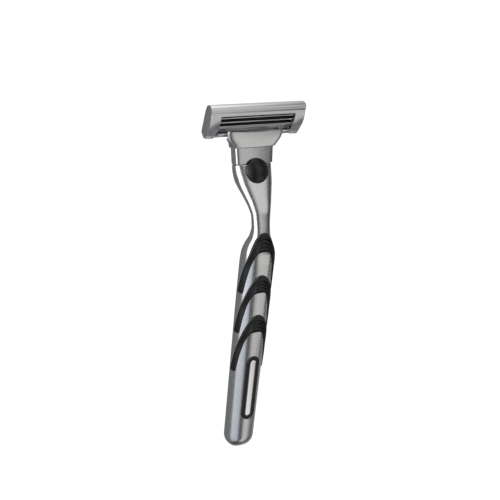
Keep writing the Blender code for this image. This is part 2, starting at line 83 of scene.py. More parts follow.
@lru_cache(maxsize=None)
def handle_section(z):
    """The columns of HANDLE at a height, joined by curves that never overshoot."""
    places = [row[0] for row in HANDLE]
    last = len(places) - 1
    k = next((i for i in range(last) if z >= places[i + 1]), last - 1)
    span = places[k + 1] - places[k]
    t = (z - places[k]) / span
    found = []
    for column in range(1, 6):
        values = [row[column] for row in HANDLE]
        slopes = [(values[i + 1] - values[i]) / (places[i + 1] - places[i])
                  for i in range(last)]
        ends = []
        for i in (k, k + 1):
            before, after = slopes[max(i - 1, 0)], slopes[min(i, last - 1)]
            steady = before * after > 0
            ends.append(2 * span * before * after / (before + after) if steady else 0.0)
        step = values[k + 1] - values[k]
        curve = 3 * step - 2 * ends[0] - ends[1] + t * (ends[0] + ends[1] - 2 * step)
        found.append(values[k] + t * (ends[0] + t * curve))
    return found


@lru_cache(maxsize=None)
def handle_front(z):
    """The direction that faces the front at a height, square to the leaning axis."""
    reach = 0.05
    lean = (handle_section(z + reach)[0] - handle_section(z - reach)[0]) / (2 * reach)
    return Vector((0.0, -1.0, lean)).normalized()


def on_section(angle, z, lift=0.0):
    """A point on the handle, turned by an angle from the front towards -X, and lifted off it."""
    offset, width, front_depth, back_depth, power = handle_section(z)
    ahead, across = abs(cos(angle)), abs(sin(angle))
    depth = front_depth if cos(angle) >= 0 else back_depth
    size = (ahead ** power + across ** power) ** (-1 / power)
    side = Vector((-1.0 if sin(angle) > 0 else 1.0, 0.0, 0.0))
    face = handle_front(z) if cos(angle) >= 0 else -handle_front(z)
    out = side * ((across * size) ** (power - 1) / width)
    out += face * ((ahead * size) ** (power - 1) / depth)
    centre = Vector((0.0, offset, z))
    point = centre + side * (width * across * size) + face * (depth * ahead * size)
    return point + out.normalized() * lift


def piece(name, points, faces, sharp=32.0):
    """An object from points in millimetres, smooth except at edges sharper than an angle."""
    mesh = bpy.data.meshes.new(name)
    mesh.from_pydata([Vector(point) * MM for point in points], [], faces)
    made = bpy.data.objects.new(name, mesh)
    bpy.context.scene.collection.objects.link(made)
    faired(made, sharp)
    return made


def faired(made, sharp=32.0):
    """Faces turned outwards and shaded smooth."""
    bpy.context.view_layer.objects.active = made
    bpy.ops.object.mode_set(mode="EDIT")
    bpy.ops.mesh.select_all(action="SELECT")
    bpy.ops.mesh.normals_make_consistent(inside=False)
    bpy.ops.object.mode_set(mode="OBJECT")
    made.data.shade_smooth()
    made.data.set_sharp_from_angle(angle=radians(sharp))


def skin(name, rings, closed=False, sharp=32.0):
    """A skin over rings of equal length, capped at both ends unless it closes on itself."""
    count = len(rings[0])
    points = [point for ring in rings for point in ring]
    faces = []
    for i in range(len(rings) if closed else len(rings) - 1):
        here, there = i * count, (i + 1) % len(rings) * count
        for j in range(count):
            k = (j + 1) % count
            faces.append((here + j, here + k, there + k, there + j))
    if not closed:
        faces.append(range(count))
        faces.append(range(len(points) - count, len(points)))
    return piece(name, points, faces, sharp)


def box(x0, x1, y0, y1, z0, z1):
    return skin("box", [[(x0, y0, z), (x1, y0, z), (x1, y1, z), (x0, y1, z)] for z in (z0, z1)])


def cylinder(start, end, radius, sides=64):
    """A round bar between two points."""
    start, end = Vector(start), Vector(end)
    turn = Vector((0.0, 0.0, 1.0)).rotation_difference(end - start).to_matrix()
    spokes = [Vector((cos(tau * i / sides), sin(tau * i / sides), 0.0)) for i in range(sides)]
    circle = [turn @ spoke for spoke in spokes]
    rings = [[place + spoke * radius for spoke in circle] for place in (start, end)]
    return skin("cylinder", rings)


def settled(made):
    """The object's modifiers, applied."""
    graph = bpy.context.evaluated_depsgraph_get()
    mesh = bpy.data.meshes.new_from_object(made.evaluated_get(graph))
    made.modifiers.clear()
    made.data = mesh


def carve(made, tool, operation="DIFFERENCE"):
    """Cut a shape from the piece, or join one to it."""
    step = made.modifiers.new("carve", "BOOLEAN")
    step.operation = operation
    step.solver = "EXACT"
    step.object = tool
    settled(made)
    bpy.data.objects.remove(tool)


def soften(made, width, segments=3, angle=40.0, where=None):
    """Rounded edges where faces meet at more than an angle, or only where a test allows."""
    step = made.modifiers.new("soften", "BEVEL")
    step.width = width * MM
    step.segments = segments
    step.limit_method = "ANGLE"
    step.angle_limit = radians(angle)
    if where:
        weights = made.data.attributes.new("bevel_weight_edge", "FLOAT", "EDGE")
        points = made.data.vertices
        for edge in made.data.edges:
            ends = [points[i].co / MM for i in edge.vertices]
            weights.data[edge.index].value = float(all(where(end) for end in ends))
        step.limit_method = "WEIGHT"
    settled(made)


def fit(made, body, slot, finish, *replaced):
    """The piece takes its finish, its body and the place of its plain solids."""
    made.data.materials.clear()
    made.data.materials.append(finish)
    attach(made, body)
    if replaced:
        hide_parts(*replaced)


class Finish:
    """A material whose colour, roughness and fine relief come from a few named patterns."""

    def __init__(self, name, colour, roughness, metallic=0.0):
        self.material = bpy.data.materials.new(name)
        self.material.use_nodes = True
        self.tree = self.material.node_tree
        self.shader = self.tree.nodes["Principled BSDF"]
        self.shader.inputs["Base Color"].default_value = (*colour, 1.0)
        self.shader.inputs["Roughness"].default_value = roughness
        self.shader.inputs["Metallic"].default_value = metallic
        self.colour, self.roughness = colour, roughness
        self.height = None
        self.place = self.node("ShaderNodeTexCoord").outputs["Object"]

    def node(self, kind, **settings):
        made = self.tree.nodes.new(kind)
        for name, value in settings.items():
            setattr(made, name, value)
        return made

    def link(self, source, target):
        self.tree.links.new(source, target)

    def grain(self, size, stretch=(1.0, 1.0, 1.0), detail=3.0):
        """Noise with features of a size in millimetres, drawn out along an axis."""
        scale = self.node("ShaderNodeVectorMath", operation="MULTIPLY")
        scale.inputs[1].default_value = [1.0 / (size * MM * part) for part in stretch]
        noise = self.node("ShaderNodeTexNoise")
        noise.inputs["Scale"].default_value = 1.0
        noise.inputs["Detail"].default_value = detail
        self.link(self.place, scale.inputs[0])
        self.link(scale.outputs[0], noise.inputs["Vector"])
        return noise.outputs["Fac"]

    def tint(self, pattern, dark, light):
        """The colour runs from dark to light times its base with the pattern."""
        mix = self.node("ShaderNodeMix", data_type="RGBA")
        mix.inputs["A"].default_value = (*[part * dark for part in self.colour], 1.0)
        mix.inputs["B"].default_value = (*[part * light for part in self.colour], 1.0)
        self.link(pattern, mix.inputs["Factor"])
        self.link(mix.outputs["Result"], self.shader.inputs["Base Color"])

    def gloss(self, pattern, change):
        """The roughness swings by a change on each side of its base."""
        spread = self.node("ShaderNodeMapRange")
        spread.inputs["From Min"].default_value = 0.25
        spread.inputs["From Max"].default_value = 0.75
        spread.inputs["To Min"].default_value = self.roughness - change
        spread.inputs["To Max"].default_value = self.roughness + change
        self.link(pattern, spread.inputs["Value"])
        self.link(spread.outputs["Result"], self.shader.inputs["Roughness"])

    def relief(self, pattern, depth, strength=1.0):
        """Bumps of a depth in millimetres, laid over any earlier ones."""
        bump = self.node("ShaderNodeBump")
        bump.inputs["Strength"].default_value = strength
        bump.inputs["Distance"].default_value = depth * MM
        self.link(pattern, bump.inputs["Height"])
        if self.height:
            self.link(self.height, bump.inputs["Normal"])
        self.height = bump.outputs["Normal"]
        self.link(self.height, self.shader.inputs["Normal"])


def satin_silver(name):
    """Satin silver plating with brush lines down its length and a faint cloudiness."""
    finish = Finish(name, (0.60, 0.605, 0.615), 0.27, 1.0)
    lines = finish.grain(0.09, (1.0, 1.0, 60.0), 2.0)
    clouds = finish.grain(6.0)
    finish.tint(clouds, 0.98, 1.02)
    finish.gloss(lines, 0.05)
    finish.relief(lines, 0.004, 0.35)
    finish.relief(clouds, 0.01, 0.1)
    return finish.material


SIDES = 144
NECK_STEP = 0.35
NECK_END_Z = -45.0
GRIP_STEPS = 90
straight_end = END_Z + END_ROUND
heights = [SEAM_Z - SEAM_CHAMFER - NECK_STEP * i for i in range(100)]
heights = [z for z in heights if z > NECK_END_Z]
grip_run = NECK_END_Z - straight_end
heights += [NECK_END_Z - grip_run * i / GRIP_STEPS for i in range(GRIP_STEPS + 1)]
angles = [tau * i / SIDES for i in range(SIDES)]
rings = [[on_section(angle, SEAM_Z, -SEAM_CHAMFER) for angle in angles]]
for i in range(1, 3):
    turn = i * pi / 6
    inset = SEAM_CHAMFER * (1.0 - sin(turn))
    z = SEAM_Z - SEAM_CHAMFER * (1.0 - cos(turn))
    rings.append([on_section(angle, z, -inset) for angle in angles])
rings += [[on_section(angle, z) for angle in angles] for z in heights]
for i in range(1, 11):
    turn = i * pi / 20.5
    z = straight_end - END_ROUND * sin(turn)
    inset = END_ROUND * (1.0 - cos(turn)) * 0.9
    rings.append([on_section(angle, z, -inset) for angle in angles])
handle = skin("handle_shell", rings, sharp=40.0)

button_low, button_high = (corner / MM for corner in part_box("release_button"))
BUTTON_RADIUS = (button_high.x - button_low.x) / 2
BUTTON_CENTRE_Z = (button_low.z + button_high.z) / 2
# The pocket for the nose insert, and the slot that the button's stem slides in
carve(handle, box(-5.8, 5.8, -2.1, 1.9, SEAM_Z - 5.0, SEAM_Z + 3.0))
carve(handle, box(-1.5, 1.5, -6.0, -1.8, SEAM_Z - 4.9, SEAM_Z + 3.0))
faired(handle, 40.0)
fit(handle, "handle", "satin_silver", satin_silver("handle_plating"), "handle_body")


# ---------------------------------------------------------------- rubber arches
# Three arches of soft black rubber, overmoulded into grooves on the front of the handle. Each
# has a rolled upper edge with ribs under it that run together into the two legs.

ARCH_TOPS = (("upper", -35.6), ("middle", -52.0), ("lower", -68.2))
ARCH_DROP = 23.3
ARCH_BAND = 7.1
ARCH_OUTER_REACH = 9.9
ARCH_INNER_REACH = 6.95
ARCH_FOOT_ROUND = 1.0
GRIP_PROUD = 0.52
RIB_HEIGHT = 0.36
EDGE_ROUND = 0.5
BURIED = -0.3


@lru_cache(maxsize=None)
def girth(z):
    """Angles round the handle at a height, with the distance from the front to each."""
    step = radians(1.5)
    here, gone, table = on_section(0.0, z), 0.0, [(0.0, 0.0)]
    for i in range(1, 110):
        ahead = on_section(i * step, z)
        gone += (ahead - here).length
        here = ahead
        table.append((gone, i * step))
    return table


def on_handle(across, z, lift):
    """A point at a distance round the handle from its front, and a height, lifted off it."""
    table = girth(round(z, 2))
    reach = abs(across)
    i = next(i for i in range(1, len(table)) if table[i][0] >= reach)
    (near, first), (far, second) = table[i - 1], table[i]
    angle = first + (second - first) * (reach - near) / (far - near)
    return on_section(angle if across >= 0 else -angle, z, lift)


def smooth(value, low, high):
    """0 below low, 1 above high, and an easy rise between."""
    t = min(max((value - low) / (high - low), 0.0), 1.0)
    return t * t * (3 - 2 * t)


def arch_edges(t):
    """The upper and lower edge of an arch, from its crown (0) to its foot (1)."""
    upper = Vector((ARCH_OUTER_REACH * t, -ARCH_DROP * t ** 2.2))
    lower = Vector((ARCH_INNER_REACH * t, -ARCH_BAND - (ARCH_DROP - ARCH_BAND) * t ** 3.3))
    return upper, lower


def arch_lift(u, t, width):
    """How proud the rubber stands, across the band (0 to 1) and along the arch."""
    edge = min(u, 1.0 - u) * width / EDGE_ROUND
    roll = (1.0 - (1.0 - min(edge, 1.0)) ** 2.4) ** (1 / 2.4)
    fade = 1.0 - smooth(t, 0.5, 0.85)
    ribs = abs(sin(pi * (u - 0.30) / 0.205)) ** 0.8 if u > 0.30 else 1.0
    valley = (1.0 - ribs) * fade * smooth(1.0 - u, 0.0, 0.12)
    return (GRIP_PROUD + 0.12 * fade) * roll - RIB_HEIGHT * 1.6 * valley * roll


def rubber(name):
    """Soft black rubber with a fine moulded grain."""
    finish = Finish(name, (0.005, 0.0053, 0.0058), 0.38)
    finish.shader.inputs["Specular IOR Level"].default_value = 0.36
    fine, broad = finish.grain(0.12, detail=2.0), finish.grain(2.2)
    finish.tint(broad, 0.75, 1.3)
    finish.gloss(broad, 0.06)
    finish.relief(fine, 0.02, 0.3)
    return finish.material


def grip_arch(name, top):
    columns, steps = 44, 46
    half = [(*arch_edges(i / steps), i / steps) for i in range(steps + 1)]
    upper, lower, end = half[-1]
    middle, reach = (upper + lower) / 2, (upper - lower) / 2
    for turn in [pi / 2 * i / 9 for i in range(1, 9)] + [1.53]:
        down = Vector((0.0, -ARCH_FOOT_ROUND * sin(turn)))
        half.append((middle + down + reach * cos(turn), middle + down - reach * cos(turn), 1.0))
    rings = []
    for sign, part in ((-1, half[:0:-1]), (1, half)):
        for upper, lower, t in part:
            width = (upper - lower).length
            end = smooth(upper.y, -ARCH_DROP - ARCH_FOOT_ROUND, -ARCH_DROP - 0.35 * ARCH_FOOT_ROUND)
            over, under = [], []
            for j in range(columns + 1):
                u = j / columns
                u = (1.0 - cos(pi * u)) / 2 * 0.5 + u * 0.5
                place = upper.lerp(lower, u)
                lift = arch_lift(u, t, width)
                if t == 1.0 and upper.y < -ARCH_DROP - 0.001:
                    lift *= end ** 0.5
                over.append(on_handle(sign * place.x, top + place.y, lift))
            for place in (lower, upper):
                under.append(on_handle(sign * place.x, top + place.y, BURIED))
            rings.append(over + under)
    return skin(name, rings, sharp=50.0)


for word, top in ARCH_TOPS:
    arch = grip_arch(f"rubber_arch_{word}", top)
    fit(arch, "handle", "black_rubber", rubber(f"arch_rubber_{word}"), f"grip_arch_{word}")


# ---------------------------------------------------------------- ring and inlay
# An oval bead of the same rubber frames a narrow polished plate that is glued flush into the
# front of the lower handle.

RING_TOP = -85.5
RING_BOTTOM = -112.7
RING_HALF_WIDTH = 3.05
RING_BAND = 1.65


def oval(half_width, inset, count=96):
    """An oval on the handle's front, as distances round it and heights."""
    top, bottom = RING_TOP - inset - half_width, RING_BOTTOM + inset + half_width
    loop = []
    for i in range(count):
        turn = tau * (i + 0.5) / count
        z = (top if sin(turn) > 0 else bottom) + half_width * sin(turn)
        loop.append((half_width * cos(turn), z))
    return loop


def layered(name, layers, closed, sharp=40.0):
    """Ovals on the handle, each with an inset and a lift, skinned in order."""
    rings = []
    for inset, lift in layers:
        rings.append([on_handle(x, z, lift) for x, z in oval(RING_HALF_WIDTH - inset, inset)])
    return skin(name, rings, closed, sharp)


bead = [(0.0, BURIED)]
for i in range(13):
    turn = pi * i / 12
    bead.append((RING_BAND * (1.0 - cos(turn)) / 2, GRIP_PROUD * sin(turn) ** 0.7))
bead.append((RING_BAND, BURIED))
ring = layered("ring_bead", bead, True)
fit(ring, "handle", "black_rubber", rubber("ring_rubber"), "end_ring")

plate_layers = [(RING_BAND - 0.05, BURIED), (RING_BAND - 0.05, 0.05), (RING_BAND + 0.1, 0.12)]
plate_layers += [(RING_BAND + 0.3 * i, 0.13) for i in range(1, 6)]
plate = layered("inlay_plate", plate_layers, False)
polish = Finish("inlay_polish", (0.80, 0.80, 0.81), 0.13, 1.0)
polish_lines = polish.grain(0.08, (1.0, 1.0, 40.0))
polish.tint(polish.grain(4.0), 0.96, 1.03)
polish.gloss(polish_lines, 0.03)
polish.relief(polish_lines, 0.002, 0.3)
fit(plate, "handle", "bright_inlay", polish.material, "ring_inlay")


# ---------------------------------------------------------------- nose insert
# A moulded nylon insert is pressed into the neck. It guides the plunger and the ejector, and
# stands up as the nose that the connector slides on.


def nylon(name):
    """Dark moulded nylon with a faint mould texture and flow marks."""
    finish = Finish(name, (0.055, 0.055, 0.06), 0.48)
    fine = finish.grain(0.15)
    finish.tint(finish.grain(3.0, (1.0, 1.0, 2.0)), 0.8, 1.25)
    finish.gloss(fine, 0.07)
    finish.relief(fine, 0.02, 0.25)
    return finish.material


def dressed(node, finish):
    """A solid that keeps its shape and gets its finish."""
    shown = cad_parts[node]
    shown.data.materials.clear()
    shown.data.materials.append(finish)


dressed("nose_block", nylon("nose_nylon"))


# ---------------------------------------------------------------- plunger and its spring
# A nylon plunger slides in the nose and presses the head back to its rest angle. A small coil
# spring of drawn steel wire pushes it.

dressed("plunger", nylon("plunger_nylon"))


def drawn_wire(name):
    """Drawn spring steel with fine lines."""
    finish = Finish(name, (0.45, 0.45, 0.46), 0.3, 1.0)
    fine = finish.grain(0.05)
    finish.tint(fine, 0.85, 1.12)
    finish.gloss(fine, 0.06)
    finish.relief(fine, 0.004, 0.3)
    return finish.material


for spring in ("plunger_spring", "ejector_spring_left", "ejector_spring_right"):
    dressed(spring, drawn_wire(f"{spring}_wire"))


# ---------------------------------------------------------------- release button and ejector
# The button is a glossy black domed cap on a stem. Pushed up, it carries the ejector plate
# behind it, which drives the connector off the nose against two springs.

dressed("ejector_slider", nylon("ejector_nylon"))

BUTTON_Y = -4.45
BUTTON_HEIGHT = 1.75
BUTTON_RIM = 0.3
BUTTON_LEAN = 0.20
BUTTON_GAP = 0.25
profile = [(BUTTON_RADIUS - 0.35, 0.0), (BUTTON_RADIUS - 0.15, 0.12), (BUTTON_RADIUS, BUTTON_RIM)]
for i in range(1, 26):
    t = i / 26
    dome = BUTTON_RIM + (BUTTON_HEIGHT - BUTTON_RIM) * t * (2.0 - t)
    profile.append((BUTTON_RADIUS * (1.0 - t), dome))
rings = []
for radius, rise in profile:
    ring = []
    for angle in angles:
        x, lift = radius * cos(angle), radius * sin(angle)
        y = BUTTON_Y - rise + BUTTON_LEAN * lift
        if rise < BUTTON_RIM:
            offset, width, depth, _, power = handle_section(min(BUTTON_CENTRE_Z + lift, SEAM_Z))
            neck = offset - depth * (1.0 - (abs(x) / width) ** power) ** (1 / power)
            y = max(y, neck - BUTTON_GAP - rise)
        ring.append((x, y, BUTTON_CENTRE_Z + lift))
    rings.append(ring)
button = skin("button_cap", rings, sharp=50.0)
carve(button, box(-1.2, 1.2, BUTTON_Y - 0.2, -2.1, -15.3, -13.3), "UNION")
faired(button, 50.0)
gloss_black = Finish("button_black", (0.006, 0.0065, 0.008), 0.3)
button_grain = gloss_black.grain(0.2)
gloss_black.shader.inputs["Specular IOR Level"].default_value = 0.32
gloss_black.tint(gloss_black.grain(2.5), 0.8, 1.3)
gloss_black.gloss(button_grain, 0.04)
gloss_black.relief(button_grain, 0.008, 0.25)
fit(button, "release", "button_black", gloss_black.material, "release_button")


# ---------------------------------------------------------------- connector collar
# The collar is a short cast sleeve that plugs onto the nose and meets the handle in a fine
# seam. It is plated like the handle.

collar_low, collar_high = (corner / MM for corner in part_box("connector_collar"))
COLLAR_EDGE = 0.12
COLLAR_BULGE = 0.45
COLLAR_HALF_WIDTH = 8.2
COLLAR_FLARE = 0.35
COLLAR_FRONT = 3.2
COLLAR_TAPER = 0.1
COLLAR_BACK = 2.6
COLLAR_BACK_POWER = 3.5


def collar_ring(z, half_width, front_depth, inset=0.0, power=12):
    """A rounded oblong across the connector, with a slightly convex front."""
    ring = []
    for angle in angles:
        across, ahead = cos(angle), sin(angle)
        square = power if ahead < 0 else COLLAR_BACK_POWER
        size = (abs(across) ** square + abs(ahead) ** square) ** (-1 / square)
        depth = front_depth - COLLAR_BULGE * (size * across) ** 2 if ahead < 0 else COLLAR_BACK
        ring.append(((half_width - inset) * size * across, (depth - inset) * size * ahead, z))
    return ring


collar_rise = collar_high.z - collar_low.z
rings = []
for i in range(4):
    turn = pi / 2 * i / 4
    z = collar_low.z + COLLAR_EDGE * (1.0 - cos(turn))
    rings.append(collar_ring(z, COLLAR_HALF_WIDTH, COLLAR_FRONT, COLLAR_EDGE * (1.0 - sin(turn))))
for i in range(13):
    t = i / 12
    z = collar_low.z + COLLAR_EDGE + (collar_rise - COLLAR_EDGE) * t
    half_width = COLLAR_HALF_WIDTH + COLLAR_FLARE * t
    rings.append(collar_ring(z, half_width, COLLAR_FRONT - COLLAR_TAPER * t))
collar = skin("collar_sleeve", rings, sharp=50.0)
carve(collar, box(-4.6, 4.6, -1.35, 1.9, collar_low.z - 1.0, collar_high.z + 1.0))
PADDLE_WAY = (-2.45, 2.45, -2.05, 1.4)
carve(collar, box(*PADDLE_WAY, collar_low.z - 1.0, collar_high.z + 1.0))
faired(collar, 40.0)
fit(collar, "connector", "satin_silver", satin_silver("collar_plating"), "connector_collar")


# ---------------------------------------------------------------- connector yoke
# The yoke flares from the collar into a scoop under the cartridge. Two arms behind the scoop
# carry the pivot pins, all in the same plated casting.

HEAD_HEIGHT = 13.2
HEAD_TILT = radians(25.0)
SEAT_DEPTH = -2.0
PIVOT = (10.8, -0.9)
PIN_RADIUS = 0.55


def head_point(down, out):
    """(y, z) of a point in the head's section: down the blade face, and out of it."""
    up, ahead = HEAD_HEIGHT - down, out - SEAT_DEPTH
    return (ahead * cos(HEAD_TILT) - up * sin(HEAD_TILT),
            up * cos(HEAD_TILT) + ahead * sin(HEAD_TILT))


def flowing(points, steps=6, closed=False):
    """A smooth curve through points in a plane."""
    count = len(points)
    spans = count if closed else count - 1
    curve = []
    for i in range(spans):
        picks = [i - 1, i, i + 1, i + 2]
        picks = [k % count for k in picks] if closed else [min(max(k, 0), count - 1) for k in picks]
        a, b, c, d = (Vector(points[k]) for k in picks)
        for j in range(steps):
            t = j / steps
            curve.append(0.5 * (2 * b + (c - a) * t + (2 * a - 5 * b + 4 * c - d) * t * t
                                + (3 * b - a - 3 * c + d) * t ** 3))
    if not closed:
        curve.append(Vector(points[-1]))
    return curve


def along_x(outline, x0, x1, name="bar"):
    """An outline of (y, z) points drawn out along the blades."""
    return skin(name, [[(x, y, z) for y, z in outline] for x in (x0, x1)])


def along_y(outline, y0, y1, name="slab"):
    return skin(name, [[(x, y, z) for x, z in outline] for y in (y0, y1)])


SCOOP_FRONT = flowing([(-4.4, 3.05), (-4.32, 3.25), (-4.1, 3.45), (-3.7, 3.55), (-2.5, 3.76),
                       (-0.7, 4.05), (0.5, 4.22), (1.6, 4.36), (2.9, 4.5)], 5)
SCOOP_SIDE = flowing([(-4.4, 8.5), (-4.3, 8.9), (-4.1, 9.3), (-3.7, 9.8), (-2.7, 10.6),
                      (-1.5, 11.6), (-0.2, 12.3), (1.0, 12.7), (2.0, 12.83), (2.9, 12.85)], 5)


def read(curve, z):
    """The value of a curve of (height, value) points at a height."""
    low, high = next((a, b) for a, b in zip(curve, curve[1:]) if b[0] >= z - 1e-6)
    return low[1] + (high[1] - low[1]) * (z - low[0]) / (high[0] - low[0])


SCOOP_FOOT = -4.4
SCOOP_RISE = 7.25
SCOOP_STEPS = 60
rings = []
for i in range(SCOOP_STEPS + 1):
    z = SCOOP_FOOT + SCOOP_RISE * (i / SCOOP_STEPS) ** 1.4
    rings.append(collar_ring(z, read(SCOOP_SIDE, z), read(SCOOP_FRONT, z), power=8))
yoke = skin("yoke_scoop", rings, sharp=50.0)
scoop_inner = flowing([(-3.45, 4.0), (-3.45, 2.9), (-3.3, 1.6), (-3.0, 0.5), (-2.45, -0.3),
                       (-1.7, -0.5)], 5)
carve(yoke, along_x(scoop_inner + [Vector((6.0, -0.5)), Vector((6.0, 4.0))], -15.0, 15.0))
LIP_LOW, LIP_RISE, LIP_HALF = 1.6, 0.7, 12.85
LIP_REACH = 14.4
LIP_STEPS = 24
lip = []
for i in range(2 * LIP_STEPS + 1):
    x = LIP_REACH * (1.0 - i / LIP_STEPS)
    lip.append(Vector((x, LIP_LOW + LIP_RISE * (x / LIP_HALF) ** 2)))
lip += [Vector((-LIP_REACH, 5.0)), Vector((LIP_REACH, 5.0))]
carve(yoke, along_y(lip, -6.0, 5.0))
for way in (-1, 1):
    x0, x1 = sorted((way * 8.9, way * 15.0))
    carve(yoke, box(x0, x1, -1.7, 5.0, -6.0, 0.5))
soften(yoke, 0.2, 4, 45.0)
carve(yoke, box(*PADDLE_WAY, -5.5, 4.0))
down, out = PIVOT
lobe = [(down + 0.5 * cos(pi * i / 12), out + 0.5 * sin(pi * i / 12)) for i in range(13)]
arm = [(down - 0.35, -2.2), (down - 0.35, -4.2), (down + 0.5, -4.2)]
pivot_y, pivot_z = head_point(*PIVOT)
for way in (-1, 1):
    x0, x1 = sorted((way * 12.0, way * 16.3))
    shape = along_x([head_point(*point) for point in lobe + arm], x0, x1)
    soften(shape, 0.12, 2, 50.0)
    carve(yoke, shape, "UNION")
    pin_ends = [(way * x, pivot_y, pivot_z) for x in (15.8, 17.9)]
    carve(yoke, cylinder(*pin_ends, PIN_RADIUS, 32), "UNION")
faired(yoke, 40.0)
fit(yoke, "connector", "satin_silver", satin_silver("yoke_plating"), "connector_yoke")


# ---------------------------------------------------------------- cartridge housing
# The cartridge's frame is moulded in silver-pigmented plastic: a rolled cap along the top, two
# end blocks, and a window behind the blades that lets water through.

_, housing_high = (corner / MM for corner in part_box("cartridge_housing"))
HALF_WIDTH = housing_high.x
BLADE_EDGES = (6.6, 8.35, 10.1)
EDGE_RADIUS = 0.62


def head_bar(points, x0, x1, name="bar"):
    """A section of (down, out) points drawn out along the head."""
    return along_x([head_point(*point) for point in points], x0, x1, name)


def head_box(x0, x1, down0, down1, out0, out1):
    return head_bar(((down0, out0), (down1, out0), (down1, out1), (down0, out1)), x0, x1)


def support_outline(edge, thick):
    """An L-shaped section under a blade: a leg from the back, and a sloped platform."""
    leg, lip = edge - 1.7, edge - 0.35
    half = thick / 2
    return [(leg - half, -2.45 - half), (leg + half, -2.45 - half), (leg + half, -0.55 - half),
            (lip + half, -0.02 - half), (lip, half), (leg - half, -0.5 + half)]


WINDOW_TOP = 3.5
WINDOW_FOOT = 11.7
WINDOW_HALF = 16.6
shell = flowing([(0.0, -1.0), (0.0, -1.9), (0.25, -2.7), (0.7, -3.2), (1.2, -3.45),
                 (1.75, -3.54), (2.3, -3.5), (2.9, -3.6), (4.0, -3.86), (6.0, -4.1),
                 (8.3, -3.85), (10.4, -3.25), (12.2, -2.7), (12.95, -2.35), (13.1, -1.95),
                 (12.7, -1.1), (11.9, 0.2), (11.2, 0.5), (7.3, 0.75), (3.2, 0.9), (1.2, 0.65),
                 (0.3, -0.1)], 6, True)
housing = head_bar(shell, -HALF_WIDTH, HALF_WIDTH, "housing_frame")
soften(housing, EDGE_RADIUS, 6, 60.0)
for way in (-1, 1):
    x0, x1 = sorted((way * 17.2, way * 20.6))
    pad = head_box(x0, x1, 12.0, HEAD_HEIGHT, -2.75, -1.25)
    soften(pad, 0.15, 3)
    carve(housing, pad, "UNION")
window = [(WINDOW_TOP, -6.0), (WINDOW_FOOT, -6.0), (WINDOW_FOOT, -0.3), (10.55, -0.2),
          (10.55, 2.0), (4.0, 2.0), (4.0, -1.2), (WINDOW_TOP, -1.2)]
carve(housing, head_bar(window, -WINDOW_HALF, WINDOW_HALF))


def on_window_rim(point):
    """Whether a point lies on the window's edge at the back of the frame."""
    out = point.y * cos(HEAD_TILT) + point.z * sin(HEAD_TILT) + SEAT_DEPTH
    down = HEAD_HEIGHT + point.y * sin(HEAD_TILT) - point.z * cos(HEAD_TILT)
    near = [abs(down - WINDOW_TOP) < 0.01, abs(down - WINDOW_FOOT) < 0.01,
            abs(abs(point.x) - WINDOW_HALF) < 0.01]
    return out < -2.5 and any(near) and abs(point.x) < WINDOW_HALF + 0.02


soften(housing, 0.4, 4, where=on_window_rim)
for edge in BLADE_EDGES:
    for way in (-1, 1):
        x0, x1 = sorted((way * 16.0, way * 17.2))
        carve(housing, head_bar(support_outline(edge, 0.8), x0, x1))
carve(housing, head_box(-19.2, 19.2, 0.95, 3.65, -0.55, 3.0))
carve(housing, head_bar([(10.0, 0.15), (11.4, 0.15), (12.2, -0.6), (13.6, -0.9), (13.6, 2.0),
                         (10.0, 2.0)], -15.4, 15.4))
for way in (-1, 1):
    x0, x1 = sorted((way * 15.45, way * 16.75))
    carve(housing, head_box(x0, x1, 11.25, 11.75, -1.6, 3.0))
    carve(housing, cylinder((way * 16.0, pivot_y, pivot_z), (way * 18.2, pivot_y, pivot_z),
                            PIN_RADIUS + 0.2, 32))
carve(housing, box(-2.8, 2.8, -3.0, 4.0, -1.0, 0.6))
tab = [(-1.75, 0.6), (0.1, 0.6), (0.1, 1.6), (-0.9, 1.45), (-1.75, 1.0)]
carve(housing, along_x(tab, -2.2, 2.2), "UNION")
soften(housing, 0.06, 2, 55.0)
faired(housing, 35.0)

pigment = Finish("housing_silver", (0.60, 0.605, 0.615), 0.31, 1.0)
flakes, haze = pigment.grain(0.06, detail=1.0), pigment.grain(5.0, (3.0, 1.0, 1.0))
pigment.tint(flakes, 0.88, 1.12)
pigment.gloss(haze, 0.04)
pigment.relief(flakes, 0.003, 0.2)
fit(housing, "head", "silver_plastic", pigment.material, "cartridge_housing")


# ---------------------------------------------------------------- lubricating strip
# A strip of waxy polymer, pale green and slightly mottled, lies in a channel of the cap above
# the blades.

strip_section = flowing([(1.1, -0.4), (3.5, -0.4), (3.5, 0.6), (3.42, 0.9), (3.1, 1.0), (1.6, 0.84),
                         (1.2, 0.7), (1.1, 0.4)], 1, True)
strip = head_bar(strip_section, -19.0, 19.0, "lubricating_bar")
soften(strip, 0.12, 3)
faired(strip, 50.0)
wax = Finish("strip_wax", (0.50, 0.66, 0.60), 0.5)
wax.shader.inputs["Subsurface Weight"].default_value = 0.15
mottle = wax.grain(0.7)
wax.tint(mottle, 0.82, 1.15)
wax.gloss(mottle, 0.06)
wax.relief(wax.grain(0.25), 0.03, 0.35)
fit(strip, "head", "lubricating_strip", wax.material, "lubricating_strip")


# ---------------------------------------------------------------- guard strip
# A finned strip of soft rubber is moulded along the lower edge, in front of the first blade,
# and smooths the skin.

FINS = 5
guard_back = [(10.65, 0.3), (11.5, 0.3), (12.3, -0.4), (13.0, -0.6)]
crest, valley = Vector((12.95, -0.2)), Vector((10.65, 0.72))
guard_face = []
for i in range(FINS * 8 + 1):
    t = i / (FINS * 8)
    fin = 0.26 * abs(sin(pi * FINS * t)) ** 1.4 + 0.22 * sin(pi * t)
    guard_face.append(crest.lerp(valley, t) + Vector((0.0, fin)))
guard = head_bar([Vector(point) for point in guard_back] + guard_face, -15.2, 15.2, "guard_fins")
faired(guard, 40.0)
fit(guard, "head", "black_rubber", rubber("guard_rubber"), "guard_strip")


